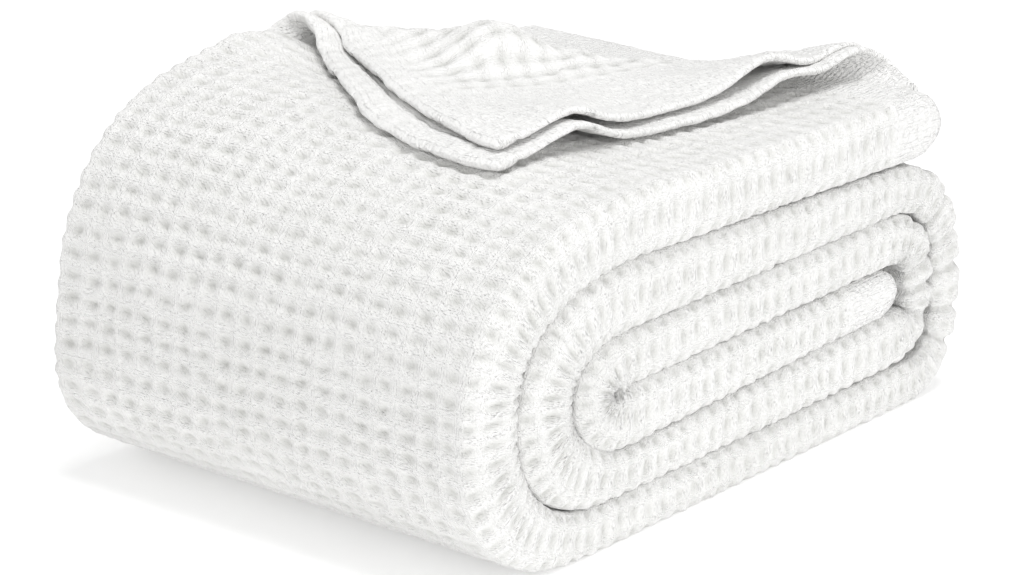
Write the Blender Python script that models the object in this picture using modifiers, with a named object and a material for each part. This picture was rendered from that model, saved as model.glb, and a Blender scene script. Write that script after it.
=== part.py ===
"""A white waffle-weave cotton blanket, folded to a long strip and rolled up, its last corner turned back.

Units are metres and +Z is up. The roll lies on its flat underside and its winding axis runs along Y. Its
wound face is at -Y. The strip ends on top of the roll at +X, where the two outer plies of its far corner are
turned over. The origin is on the floor, under the middle of the roll.
"""
import math
from collections import namedtuple

import bmesh
import bpy
import numpy as np
from mathutils import Vector

# Cloth and strip
STRIP_WIDTH = 0.276
PLY_THICKNESS = 0.0036
PLY_PITCH = 0.0052
HEM_THICKNESS = 0.0070
HEM_WIDTH = 0.012
FRONT_Y = -STRIP_WIDTH / 2

# The far end of the roll stands taller over its left bend, and its heel spreads
CROWN = 0.15
CROWN_FROM_X = 0.030
CROWN_FULL_X = -0.120
HEEL_SPREAD = 0.013
HEEL_HEIGHT = 0.030
HEEL_REACH = 0.045
HEEL_FROM_X = -0.090
HEEL_FULL_X = -0.205

# Sections of the wound strip
EDGE_POINTS = 7
FACE_POINTS = 3
EDGE_DEPTH = 0.33
STEP_LENGTH = 0.022
STEP_TURN = math.radians(9.5)
SMOOTH_REACH = 0.012
RUN_SAMPLES = 60
BEND_SAMPLES = 48
FINE_STEP = 0.001
BEND_REACH = 14
FOLD_LIMIT = 0.40
END_SHARES = (0.0, 0.08, 0.3, 0.62, 1.0)
END_CAP_SHARE = 0.22
END_CLEAR = 1.2
ROUND_LIMIT = 0.85

# The corner that is turned back: the fold line, seen from above, and the loop over it
FOLD_POINT = Vector((-0.045, 0.1456))
FOLD_ALONG = Vector((0.673, -0.7395)).normalized()
FOLD_ACROSS = Vector((-FOLD_ALONG.y, FOLD_ALONG.x))
LOOP_LENGTH = 0.340
TURNED_END_X = 0.177
TURNED_BACK_Y = 0.140
TURNED_INWARD = 0.300
TURNED_DOWN = 0.272
SUNK_BACK_Y = 0.126
SETTLE_LENGTH = 0.045
RAMP_LENGTH = 0.055
REST_GAP = 0.0020
CORNER_PULL = 0.053
CORNER_PULL_FADE = 0.190
PULL_TURNS = 0.62
PULL_START = 0.060
PULL_SLANT = 0.2
RIPPLE_DEPTH = 0.050
SHEET_STEPS_INWARD = 10
SHEET_STEPS_DOWN = 15
LOOP_CREASES = 9
RAMP_CREASES = (-0.045, -0.030, -0.015)
SETTLE_CREASES = (0.010, 0.022, 0.036, 0.050)
CREASE_SNAP = 0.0004
LEDGE_DEPTH = 0.0098
LEDGE_HEIGHT = 0.060
LEDGE_HALF_WIDTH = 0.160
LEDGE_END_X = 0.230
LEDGE_STEPS = 10

COLLECTION = "blanket"
COTTON_WHITE = (0.93, 0.925, 0.91, 1.0)

# One row for each straight length of the winding, from the inner end out, on the strip's middle line
Run = namedtuple("Run", "name x_from z_from x_to z_to thick_from thick_to rise")
# One row for each bend that joins two runs
Bend = namedtuple("Bend", "name x_tip z_tip thick fullness")

WINDING = (
    Run("core", 0.146, 0.0690, -0.086, 0.0630, 0.0240, 0.0306, 0.000),
    Bend("core_left", -0.1085, 0.0778, 0.0350, 2.0),
    Run("inner_top", -0.086, 0.0930, 0.125, 0.0962, 0.0266, 0.0260, 0.000),
    Bend("inner_right", 0.1680, 0.0690, 0.0230, 2.1),
    Run("inner_floor", 0.130, 0.0398, -0.085, 0.0352, 0.0300, 0.0221, 0.000),
    Bend("middle_left", -0.1480, 0.0785, 0.0380, 2.25),
    Run("middle_top", -0.084, 0.1246, 0.130, 0.1226, 0.0336, 0.0240, 0.000),
    Bend("outer_right", 0.1954, 0.0570, 0.0265, 2.4),
    Run("floor", 0.150, 0.0115, -0.112, 0.0115, 0.0230, 0.0230, 0.000),
    Bend("outer_left", -0.1886, 0.0830, 0.0380, 2.3),
    Run("top", -0.078, 0.1594, 0.172, 0.1525, 0.0333, 0.0325, 0.000),
)

# Inside radius of the loop over the fold line and how far the plies ramp up to it, at distances along it
# from the back edge
Loop = namedtuple("Loop", "along inside lift")
LOOP = (
    Loop(0.000, 0.0070, 0.0100),
    Loop(0.050, 0.0050, 0.0040),
    Loop(0.090, 0.0070, 0.0010),
    Loop(0.120, 0.0105, 0.0010),
    Loop(0.160, 0.0045, 0.0000),
    Loop(0.190, 0.0022, 0.0000),
    Loop(0.235, 0.0018, 0.0000),
    Loop(0.275, 0.0045, 0.0010),
    Loop(0.310, 0.0085, 0.0020),
    Loop(0.340, 0.0095, 0.0020),
)

# Loose waves along the turned-back end: where they rise, measured from the corner along the hem
Ripple = namedtuple("Ripple", "at width height")
RIPPLES = (
    Ripple(0.030, 0.016, 0.0015),
    Ripple(0.078, 0.018, 0.0090),
    Ripple(0.185, 0.026, 0.0040),
)


def clear_scene():
    """Remove whatever the open file holds, so that the part is built alone."""
    for old in list(bpy.data.objects):
        bpy.data.objects.remove(old, do_unlink=True)


def new_collection(name):
    """A collection of the scene."""
    group = bpy.data.collections.new(name)
    bpy.context.scene.collection.children.link(group)
    return group


def cotton_material():
    """Plain white cotton."""
    material = bpy.data.materials.new("white_cotton")
    material.use_nodes = True
    shader = material.node_tree.nodes["Principled BSDF"]
    shader.inputs["Base Color"].default_value = COTTON_WHITE
    shader.inputs["Roughness"].default_value = 0.95
    shader.inputs["Metallic"].default_value = 0.0
    material.diffuse_color = COTTON_WHITE
    return material


def smooth_share(value):
    """Ease from 0 to 1 with level ends."""
    share = min(max(value, 0.0), 1.0)
    return share * share * (3.0 - 2.0 * share)


def run_points(run, count=RUN_SAMPLES):
    """Middle line and thickness of one straight length, with its slight rise or sag."""
    points = []
    for step in range(count):
        share = step / (count - 1)
        x = run.x_from + (run.x_to - run.x_from) * share
        z = run.z_from + (run.z_to - run.z_from) * share + run.rise * math.sin(math.pi * share)
        thick = run.thick_from + (run.thick_to - run.thick_from) * share
        points.append((x, z, thick))
    return points


def bend_points(before, bend, after, count=BEND_SAMPLES):
    """Middle line and thickness of one bend: two full quarter ovals that meet at its tip."""
    points = []
    for step in range(1, 2 * count):
        angle = math.pi / 2 * step / count
        rising = step <= count
        x_side, z_side = (before.x_to, before.z_to) if rising else (after.x_from, after.z_from)
        power = 2.0 / bend.fullness
        x = x_side + (bend.x_tip - x_side) * abs(math.sin(angle)) ** power
        z = bend.z_tip + (z_side - bend.z_tip) * abs(math.cos(angle)) ** power
        side_thick = before.thick_to if rising else after.thick_from
        thick = side_thick + (bend.thick - side_thick) * smooth_share(abs(math.sin(angle)))
        points.append((x, z, thick))
    return points


def winding_line():
    """The strip's whole middle line from the inner end to the outer end, evenly spaced and eased."""
    points = []
    for place, piece in enumerate(WINDING):
        if isinstance(piece, Run):
            points += run_points(piece)
        else:
            points += bend_points(WINDING[place - 1], piece, WINDING[place + 1])
    line = np.array(points)
    reach = np.concatenate(([0.0], np.cumsum(np.hypot(*np.diff(line[:, :2], axis=0).T))))
    places = np.arange(0.0, reach[-1], FINE_STEP)
    line = np.stack([np.interp(places, reach, line[:, column]) for column in range(3)], axis=1)
    window = int(SMOOTH_REACH / FINE_STEP) | 1
    half = window // 2
    padded = np.concatenate((
        2 * line[0] - line[half:0:-1],
        line,
        2 * line[-1] - line[-2:-half - 2:-1],
    ))
    kernel = np.ones(window) / window
    return np.stack([np.convolve(padded[:, column], kernel, "valid") for column in range(3)], axis=1)


def stations(line):
    """Pick places along the line, closer together where it turns, and round off both ends."""
    ahead = np.gradient(line[:, :2], axis=0)
    heading = np.unwrap(np.arctan2(ahead[:, 1], ahead[:, 0]))
    spacing = np.hypot(ahead[:, 0], ahead[:, 1])
    picked = [0]
    travelled = 0.0
    for place in range(1, len(line) - 1):
        travelled += spacing[place]
        turned = abs(heading[place] - heading[picked[-1]])
        if travelled >= STEP_LENGTH or turned >= STEP_TURN:
            picked.append(place)
            travelled = 0.0
    last = len(line) - 1
    for end, inward in ((0, 1), (last, -1)):
        round_length = line[end, 2] / 2
        picked = [place for place in picked if abs(place - end) * FINE_STEP > round_length * END_CLEAR]
        picked += [end + inward * int(round(share * round_length / FINE_STEP)) for share in END_SHARES]
    picked = sorted(set(picked))
    rows = []
    for place in picked:
        x, z, thick = line[place]
        inset = min(place, last - place) * FINE_STEP
        round_length = thick / 2
        if inset < round_length:
            share = 1.0 - inset / round_length
            thick *= max(math.sqrt(1.0 - share * share), END_CAP_SHARE)
        before = max(place - BEND_REACH, 0)
        after = min(place + BEND_REACH, last)
        turning = abs(heading[after] - heading[before]) / ((after - before) * FINE_STEP)
        inner = min(thick / 2, FOLD_LIMIT / max(turning, 1.0))
        rows.append((x, z, thick / 2, inner, heading[place]))
    return rows


def section_points(outer, inner):
    """Outline of the strip across its width: two rounded edges and two broad faces, as (y, offset)."""
    depth = 2.0 * outer * EDGE_DEPTH
    half_width = STRIP_WIDTH / 2
    outline = []
    for side in (1, -1):
        for step in range(EDGE_POINTS):
            angle = math.pi * (step / (EDGE_POINTS - 1) - 0.5)
            y = half_width - depth + depth * math.cos(angle)
            offset = side * math.sin(angle)
            outline.append((side * y, offset * (outer if offset > 0.0 else inner)))
        for step in range(1, FACE_POINTS + 1):
            share = step / (FACE_POINTS + 1)
            y = (half_width - depth) * (1.0 - 2.0 * share)
            outline.append((side * y, outer if side > 0 else -inner))
    return outline


def crowned(x, y, z):
    """A point of the even roll, moved as its far end is taller on the left and spread at the heel."""
    share = (y - FRONT_Y) / STRIP_WIDTH
    tall = CROWN * share * smooth_share((CROWN_FROM_X - x) / (CROWN_FROM_X - CROWN_FULL_X))
    side = smooth_share((HEEL_FROM_X - x) / (HEEL_FROM_X - HEEL_FULL_X))
    spread = HEEL_SPREAD * share * side * math.exp(-((z - HEEL_HEIGHT) / HEEL_REACH) ** 2)
    return Vector((x - spread, y, z * (1.0 + tall)))


def wound_strip(material, group):
    """The folded strip as one wound solid."""
    mesh = bmesh.new()
    rings = []
    for x, z, outer, inner, heading in stations(winding_line()):
        normal_x = -math.sin(heading)
        normal_z = math.cos(heading)
        ring = []
        for y, offset in section_points(outer, inner):
            ring.append(mesh.verts.new(crowned(x + normal_x * offset, y, z + normal_z * offset)))
        rings.append(ring)
    for first, second in zip(rings, rings[1:]):
        for place, vertex in enumerate(first):
            after = (place + 1) % len(first)
            mesh.faces.new((vertex, first[after], second[after], second[place]))
    mesh.faces.new(rings[0])
    mesh.faces.new(list(reversed(rings[-1])))
    bmesh.ops.recalc_face_normals(mesh, faces=mesh.faces)
    data = bpy.data.meshes.new("blanket")
    mesh.to_mesh(data)
    mesh.free()
    data.materials.append(material)
    strip = bpy.data.objects.new("blanket", data)
    group.objects.link(strip)
    return strip


def top_profile():
    """Outer face of the top run and the bend before it at the front of the roll, as x and z arrays."""
    line = winding_line()
    ahead = np.gradient(line[:, :2], axis=0)
    ahead /= np.hypot(ahead[:, 0], ahead[:, 1])[:, None]
    outer_x = line[:, 0] - ahead[:, 1] * line[:, 2] / 2
    outer_z = line[:, 1] + ahead[:, 0] * line[:, 2] / 2
    first = len(line) - 1
    while outer_x[first - 1] < outer_x[first]:
        first -= 1
    return outer_x[first:], outer_z[first:]


def loop_value(along, column):
    """A column of the loop table, eased between its rows."""
    after = next((place for place, row in enumerate(LOOP) if row.along > along), len(LOOP) - 1)
    after = max(after, 1)
    low = LOOP[after - 1]
    high = LOOP[after]
    share = smooth_share((along - low.along) / (high.along - low.along))
    return getattr(low, column) + (getattr(high, column) - getattr(low, column)) * share


class TurnedCorner:
    """Places points of the strip's flat top after its far corner has been turned over the fold line."""

    def __init__(self):
        self.profile_x, self.profile_z = top_profile()
        self.end_x = WINDING[-1].x_to
        self.end_round = WINDING[-1].thick_to / 2

    def top(self, x, y):
        """Height of the roll's upper face."""
        height = float(np.interp(x, self.profile_x, self.profile_z))
        past = x - (self.end_x - self.end_round)
        if past > 0.0:
            share = min(past / self.end_round, ROUND_LIMIT)
            height -= self.end_round * (1.0 - math.sqrt(1.0 - share * share))
        return crowned(x, y, height).z

    def edge_drop(self, y):
        """How far the rounded front edge falls below the broad face."""
        depth = self.end_round
        past = (FRONT_Y + depth) - y
        if past <= 0.0:
            return 0.0
        share = min(past / depth, ROUND_LIMIT)
        return depth * (1.0 - math.sqrt(1.0 - share * share))

    def loop_radius(self, along):
        """Inside radius of the loop over the fold line."""
        return loop_value(along, "inside")

    def loop_start(self, along):
        """Where the loop leaves the flat strip, measured across from the fold line."""
        return -math.pi * (self.loop_radius(along) + PLY_PITCH / 2) / 2

    def past_start(self, flat, along):
        """How far a point of the flat sheet lies past the start of the loop."""
        return (flat - FOLD_POINT).dot(FOLD_ACROSS) - self.loop_start(along)

    def freedom(self, x, y):
        """How far a point of the sheet has come free of the strip: 0 inside it, 1 from the loop on."""
        flat = Vector((x, y))
        along = (flat - FOLD_POINT).dot(FOLD_ALONG)
        return smooth_share(1.0 + self.past_start(flat, along) / RAMP_LENGTH)

    def pull(self, x, y):
        """Sideways stretch that draws the loose corner out over the left of the roll."""
        share = (x - FOLD_POINT.x) / (TURNED_END_X - FOLD_POINT.x)
        fade = 1.0 - min(max((TURNED_BACK_Y - y) / CORNER_PULL_FADE, 0.0), 1.0)
        reach = CORNER_PULL * math.sin(math.pi * PULL_TURNS * min(max(share, 0.0), 1.0))
        return Vector((-reach, PULL_SLANT * reach)) * fade

    def ripple(self, x, y):
        """Lift of the waves along the end hem."""
        from_hem = TURNED_END_X - x
        along_hem = TURNED_BACK_Y - y
        fade = 1.0 - smooth_share(from_hem / RIPPLE_DEPTH)
        lift = sum(r.height * math.exp(-((along_hem - r.at) / r.width) ** 2) for r in RIPPLES)
        return lift * fade

    def place(self, x, y, depth, stack):
        """Where a point of the flat strip lies: depth below the face, and the lift of its ply when turned."""
        flat = Vector((x, y))
        along = (flat - FOLD_POINT).dot(FOLD_ALONG)
        inside = self.loop_radius(along)
        radius = inside + depth
        past = self.past_start(flat, along)
        free = smooth_share(1.0 + past / RAMP_LENGTH)
        lift = loop_value(along, "lift") * free
        if past <= 0.0:
            sunk_y = y - (1.0 - free) * max(y - SUNK_BACK_Y, 0.0)
            return Vector((x, sunk_y, self.top(x, y) + lift - depth - self.edge_drop(y)))
        foot = flat - FOLD_ACROSS * past
        base = self.top(min(foot.x, self.end_x - self.end_round), foot.y) + inside + lift
        base -= self.edge_drop(foot.y)
        angle = past / radius
        if angle < math.pi:
            spot = foot + FOLD_ACROSS * radius * math.sin(angle)
            return Vector((spot.x, spot.y, base - radius * math.cos(angle)))
        over = past - math.pi * radius
        spot = foot - FOLD_ACROSS * over + self.pull(x, y) * smooth_share(over / PULL_START)
        settled = smooth_share(over / SETTLE_LENGTH)
        loose = base + radius
        resting = self.top(spot.x, spot.y) + REST_GAP + stack
        height = loose + (resting - loose) * settled
        height += self.ripple(x, y) * smooth_share(over / RIPPLE_DEPTH)
        return Vector((spot.x, spot.y, height))


def crease_line(mesh, point, direction):
    """Split the flat sheet's faces along one straight line."""
    everything = list(mesh.verts) + list(mesh.edges) + list(mesh.faces)
    bmesh.ops.bisect_plane(mesh, geom=everything, dist=CREASE_SNAP, plane_co=point, plane_no=direction)


def turned_ply(name, corner, depth, stack, group):
    """One ply of the turned-back corner: a sheet with a thicker hem, sunk into the strip on its near side."""
    mesh = bmesh.new()
    bmesh.ops.create_grid(mesh, x_segments=SHEET_STEPS_INWARD, y_segments=SHEET_STEPS_DOWN, size=0.5)
    for vertex in mesh.verts:
        vertex.co.x = TURNED_END_X - (0.5 - vertex.co.x) * TURNED_INWARD
        vertex.co.y = TURNED_BACK_Y - (0.5 - vertex.co.y) * TURNED_DOWN
    across = Vector((FOLD_ACROSS.x, FOLD_ACROSS.y, 0.0))
    fold = Vector((FOLD_POINT.x, FOLD_POINT.y, 0.0))
    radius = sum(row.inside for row in LOOP) / len(LOOP) + depth
    start = corner.loop_start(LOOP_LENGTH / 2)
    creases = [start + math.pi * radius * step / LOOP_CREASES for step in range(LOOP_CREASES + 1)]
    creases += [creases[-1] + further for further in SETTLE_CREASES]
    creases += [start + nearer for nearer in RAMP_CREASES]
    for crease in creases:
        crease_line(mesh, fold + across * crease, across)
    for inward in (HEM_WIDTH, 2.0 * HEM_WIDTH):
        crease_line(mesh, Vector((TURNED_END_X - inward, 0.0, 0.0)), Vector((1.0, 0.0, 0.0)))
        crease_line(mesh, Vector((0.0, TURNED_BACK_Y - inward, 0.0)), Vector((0.0, 1.0, 0.0)))
    bmesh.ops.triangulate(mesh, faces=mesh.faces)
    weights = mesh.verts.layers.deform.verify()
    body_share = PLY_THICKNESS / HEM_THICKNESS
    for vertex in mesh.verts:
        x, y, _ = vertex.co
        near_edge = min(TURNED_END_X - x, TURNED_BACK_Y - y)
        hem = (1.0 - smooth_share((near_edge - HEM_WIDTH) / HEM_WIDTH)) * corner.freedom(x, y)
        vertex[weights][0] = body_share + (1.0 - body_share) * hem
        vertex.co = corner.place(x, y, depth, stack)
    data = bpy.data.meshes.new(name)
    mesh.to_mesh(data)
    mesh.free()
    sheet = bpy.data.objects.new(name, data)
    sheet.vertex_groups.new(name="thickness")
    wall = sheet.modifiers.new("cloth", "SOLIDIFY")
    wall.thickness = HEM_THICKNESS
    wall.offset = 0.0
    wall.vertex_group = "thickness"
    sheet.hide_render = True
    sheet.display_type = "WIRE"
    group.objects.link(sheet)
    return sheet


def ledge_cutter(corner, group):
    """Clears the two outer plies from the strip past the fold line, where they have been lifted away."""
    mesh = bmesh.new()
    bmesh.ops.create_grid(mesh, x_segments=LEDGE_STEPS, y_segments=LEDGE_STEPS, size=0.5)
    floor = list(mesh.faces)
    for vertex in mesh.verts:
        y = 2.0 * LEDGE_HALF_WIDTH * vertex.co.y
        along = (FOLD_POINT.y - y) / -FOLD_ALONG.y
        start_x = FOLD_POINT.x + FOLD_ALONG.x * along + corner.loop_start(along) / FOLD_ACROSS.x
        x = start_x + (LEDGE_END_X - start_x) * (vertex.co.x + 0.5)
        height = float(np.interp(x, corner.profile_x, corner.profile_z))
        vertex.co = crowned(x, y, height) - Vector((0.0, 0.0, LEDGE_DEPTH))
    lifted = bmesh.ops.extrude_face_region(mesh, geom=floor)
    tops = [item for item in lifted["geom"] if isinstance(item, bmesh.types.BMVert)]
    bmesh.ops.translate(mesh, verts=tops, vec=(0.0, 0.0, LEDGE_HEIGHT))
    bmesh.ops.recalc_face_normals(mesh, faces=mesh.faces)
    data = bpy.data.meshes.new("ledge_cutter")
    mesh.to_mesh(data)
    mesh.free()
    cutter = bpy.data.objects.new("ledge_cutter", data)
    cutter.hide_render = True
    cutter.display_type = "WIRE"
    group.objects.link(cutter)
    return cutter


def combine(target, name, operation, other):
    """A live Boolean on the target."""
    step = target.modifiers.new(name, "BOOLEAN")
    step.operation = operation
    step.solver = "EXACT"
    step.object = other


def build():
    """The blanket: the wound strip, less the ledge, joined with the two turned plies."""
    clear_scene()
    parts = new_collection(COLLECTION)
    guides = new_collection("cutters")
    strip = wound_strip(cotton_material(), parts)
    corner = TurnedCorner()
    cutter = ledge_cutter(corner, guides)
    lower_depth = PLY_PITCH / 2
    upper_depth = lower_depth + PLY_PITCH
    lower = turned_ply("lower_ply", corner, lower_depth, HEM_THICKNESS / 2, guides)
    upper = turned_ply("upper_ply", corner, upper_depth, HEM_THICKNESS / 2 + PLY_PITCH + REST_GAP, guides)
    combine(strip, "ledge", "DIFFERENCE", cutter)
    combine(strip, "lower_ply", "UNION", lower)
    combine(strip, "upper_ply", "UNION", upper)


build()
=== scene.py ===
"""The looks of the rolled waffle blanket: its cloth, weave, borders, hems and folds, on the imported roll.

Units are metres and +Z is up, as in the frame. The winding axis runs along Y and the wound face is at -Y.
The strip is about eight plies of cloth, folded. It is modelled as its outer skin, wound from a short table,
and the two plies of its last corner are sheets that rise over a loop and lie back on the roll.
"""

import math
from collections import namedtuple

import bmesh
import bpy
import numpy as np
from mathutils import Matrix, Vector


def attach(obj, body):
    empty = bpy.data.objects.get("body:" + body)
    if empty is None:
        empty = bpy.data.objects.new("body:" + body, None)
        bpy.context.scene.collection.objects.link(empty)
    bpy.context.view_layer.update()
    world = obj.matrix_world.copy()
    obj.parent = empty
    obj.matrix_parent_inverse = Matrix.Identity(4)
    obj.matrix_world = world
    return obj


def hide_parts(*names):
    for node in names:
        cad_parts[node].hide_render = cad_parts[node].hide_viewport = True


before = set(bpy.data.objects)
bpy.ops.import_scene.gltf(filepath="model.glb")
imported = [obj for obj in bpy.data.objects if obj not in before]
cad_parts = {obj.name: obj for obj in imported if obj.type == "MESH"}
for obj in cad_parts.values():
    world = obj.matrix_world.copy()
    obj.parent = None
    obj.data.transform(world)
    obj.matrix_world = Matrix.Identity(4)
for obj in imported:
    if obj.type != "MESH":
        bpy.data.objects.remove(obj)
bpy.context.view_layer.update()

# Cloth and strip
STRIP_WIDTH = 0.276
HALF_WIDTH = STRIP_WIDTH / 2
PLY_PITCH = 0.0052
PLY_THICKNESS = 0.0036
CELL = 0.0123
ROW_PITCH = 0.0114
EDGE_CELLS = 3
FACE_CELLS = 20
AROUND_CELLS = 2 * (EDGE_CELLS + FACE_CELLS)
FRONT_MIDDLE = EDGE_CELLS * 1.5 + FACE_CELLS
LINES_A_CELL = 8
HIDDEN_LINES = 14
FLOOR_LINES_A_CELL = 4
TINY = 1e-12
MERGE_DISTANCE = 1e-6

# The far end of the roll stands taller over its left bend, and its heel spreads
CROWN = 0.15
CROWN_FROM_X = 0.030
CROWN_FULL_X = -0.120
HEEL_SPREAD = 0.013
HEEL_HEIGHT = 0.030
HEEL_REACH = 0.045
HEEL_FROM_X = -0.090
HEEL_FULL_X = -0.205

# How the strip's section rounds off at its folded edges and at its two ends
EDGE_DEPTH = 0.20
EDGE_SQUARE = 0.75
FACE_SQUARE = 0.90
SMOOTH_REACH = 0.012
RUN_SAMPLES = 60
BEND_SAMPLES = 48
FINE_STEP = 0.001
BEND_REACH = 14
FOLD_LIMIT = 0.62
END_THIN = 0.03
END_SHARES = (0.0, 0.01, 0.04, 0.10, 0.19, 0.32, 0.49, 0.72)
SIDE_STEP = 0.0004
ROUND_LIMIT = 0.97
TOP_EASE = 0.04

# Relief of the weave, and the flat borders. The relief is weaker along the strip's far edge, where each turn
# meets the next, and towards the right bends.
RELIEF = 0.0024
BACK_RELIEF = 0.20
SEAM_RELIEF = 0.35
SEAM_AT = 0.75
SEAM_WIDTH = 0.35
RELIEF_PROUD = 0.0009
CALM_FROM_X = 0.120
CALM_EASE_X = 0.045
CALM_SHARE = 0.45
PLY_RELIEF = 0.0015
PLY_RELIEF_LEVEL = 0.8
PLY_BACK_SHIFT = 0.25
ROW_NARROWNESS = 0.55
COLUMN_NARROWNESS = 1.0
COLUMN_SHARE = 0.86
ROW_BOW = 0.5
ROW_BOW_POWER = 1.3
STRIP_BORDER = 0.050
BORDER_EASE = 0.016
PLY_BORDER = 0.072
UPPER_HALF_Z = HALF_WIDTH / 2
LIFTED_BEFORE = 0.012
LIFTED_EASE = 0.010
CREASE_REACH = 2.0

# The corner that is turned back: the fold line, seen from above, and the loop over it
FOLD_POINT = (-0.045, 0.1456)
FOLD_ALONG = Vector((0.673, -0.7395)).normalized()
FOLD_ACROSS = Vector((-FOLD_ALONG.y, FOLD_ALONG.x))
TURNED_END_X = 0.177
TURNED_BACK_Y = 0.140
TURNED_INWARD = 0.300
TURNED_DOWN = 0.272
TURNED_KEPT = -0.060
SUNK_BACK_Y = 0.126
SUNK_DEPTH = 0.0045
SUNK_REACH = 0.014
SETTLE_LENGTH = 0.045
RAMP_LENGTH = 0.055
REST_GAP = 0.0014
CORNER_PULL_FADE = 0.190
PULL_START = 0.095
PULL_EASE = 0.020
RIPPLE_DEPTH = 0.050
SLIP_FROM = 0.030
SLIP_FADE = 0.080
NOSE_TUCK = 0.012
NOSE_FROM_X = 0.150
NOSE_EASE_X = 0.020
NOSE_EASE = 0.022
NOSE_BEFORE = 0.010
LEDGE_DEPTH = 0.0098
LEDGE_FROM = 0.004
LEDGE_EASE = 0.008
SHEET_STEP = 0.00145

# Hems of the turned plies
SIDE_HEM_WIDTH = 0.013
SIDE_HEM_THICKNESS = 0.0062
END_HEM_WIDTH = 0.020
END_HEM_THICKNESS = 0.0038
STITCH_GROOVE = 0.0011
STITCH_WIDTH = 0.0016
RIM_ROUND = 0.0018
RIM_THIN = 0.02
HEM_SLACK = 0.030
HEM_RELIEF = 0.30

# Yarns, ribs and nap of the cotton, which are too fine for relief
THREADS_A_CELL = 9.0
RIBS_A_CELL = 5.0
RIB_HEIGHT = 1.8
YARN_DEPTH = 0.0005
YARN_STRENGTH = 0.7
LINT_SCALE = 1400.0
LINT_WEIGHT = 0.35
CLUMP_SCALE = 420.0
STROKE_SLANT = 0.6
STROKE_SIZE = (0.105, 0.34, 4.0)
STROKE_WEIGHT = 1.5
WANDER_SCALE = 260.0
NAP_DEPTH = 0.0013
NAP_STRENGTH = 0.75

# Colour and shine of the cotton, and the shade painted into the pockets of its weave
RIDGE_COLOUR = (0.93, 0.926, 0.915, 1.0)
# Painted shade: the greyer, warmer colour of the weave's pockets stands for the shade that falls in them
PAINTED_POCKET_SHADE_COLOUR = (0.69, 0.69, 0.665, 1.0)
PATCH_SCALE = 24.0
PATCH_WEIGHT = 0.3
PATCH_LEVEL = -0.12
SHEEN = 0.25
SHEEN_ROUGHNESS = 0.5
SPECULAR_LEVEL = 0.25
ROUGHNESS = 0.80
NAP_ROUGHNESS = 0.12

# Floor and light from all round
WHITE = (1.0, 1.0, 1.0, 1.0)
FLOOR_SIZE = 10.0
FLOOR_COLOUR = (0.93, 0.93, 0.93, 1.0)
FLOOR_ROUGHNESS = 0.9
FLOOR_GLOW = 0.24
SURROUNDING_LIGHT = 0.64

# One row for each lamp: its place, the width of its disk in metres and its power in watts
Lamp = namedtuple("Lamp", "name place size power")
LAMPS = (
    Lamp("above", (0.0, -0.3, 2.8), 1.4, 35.0),
    Lamp("front", (0.7, -2.8, 0.8), 1.4, 8.0),
    Lamp("fill", (-1.4, -2.0, 0.7), 1.0, 9.0),
)
LAMP_TARGET = (0.0, 0.0, 0.1)

# Camera: its place, how far it looks down and turns, and its lens on a 36 mm sensor
CAMERA_PLACE = (-1.4366, -1.2002, 0.7330)
CAMERA_DOWN = math.radians(19.35)
CAMERA_TURN = math.radians(-49.8)
CAMERA_LENS = 134.1
SENSOR_WIDTH = 36.0

# One row for each straight length of the winding, from the inner end out, on the strip's middle line
Run = namedtuple("Run", "name x_from z_from x_to z_to thick_from thick_to")
# One row for each bend that joins two runs
Bend = namedtuple("Bend", "name x_tip z_tip thick fullness")

WINDING = (
    Run("core", 0.136, 0.0690, -0.086, 0.0630, 0.0240, 0.0306),
    Bend("core_left", -0.1085, 0.0778, 0.0350, 2.0),
    Run("inner_top", -0.086, 0.0930, 0.125, 0.0962, 0.0266, 0.0260),
    Bend("inner_right", 0.1600, 0.0610, 0.0250, 3.0),
    Run("inner_floor", 0.130, 0.0398, -0.085, 0.0352, 0.0300, 0.0221),
    Bend("middle_left", -0.1480, 0.0785, 0.0380, 2.25),
    Run("middle_top", -0.084, 0.1246, 0.130, 0.1226, 0.0336, 0.0240),
    Bend("outer_right", 0.1862, 0.0570, 0.0240, 2.5),
    Run("floor", 0.150, 0.0115, -0.112, 0.0115, 0.0230, 0.0230),
    Bend("outer_left", -0.1886, 0.0830, 0.0380, 2.3),
    Run("top", -0.078, 0.1594, 0.172, 0.1525, 0.0333, 0.0325),
)

# Where the strip is divided into pieces: shares of the way along two of its runs. The floor run is coarser.
WRAP_FROM_SHARE = 0.85
FLOOR_FROM_SHARE = 0.10
FLOOR_TO_SHARE = 0.95

# Inside radius of the loop over the fold line, how far the plies are lifted towards it and the share of their
# pitch that they keep where they are pressed together, at distances along it from the back edge
Loop = namedtuple("Loop", "along inside lift pressed")
LOOP = (
    Loop(0.000, 0.0070, 0.0100, 1.00),
    Loop(0.050, 0.0050, 0.0040, 1.00),
    Loop(0.090, 0.0080, 0.0010, 1.00),
    Loop(0.120, 0.0120, 0.0010, 1.00),
    Loop(0.160, 0.0045, 0.0000, 0.80),
    Loop(0.190, 0.0020, 0.0000, 0.65),
    Loop(0.235, 0.0018, 0.0000, 0.65),
    Loop(0.275, 0.0050, 0.0010, 0.60),
    Loop(0.310, 0.0080, 0.0020, 0.50),
    Loop(0.340, 0.0085, 0.0020, 0.45),
)

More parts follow.
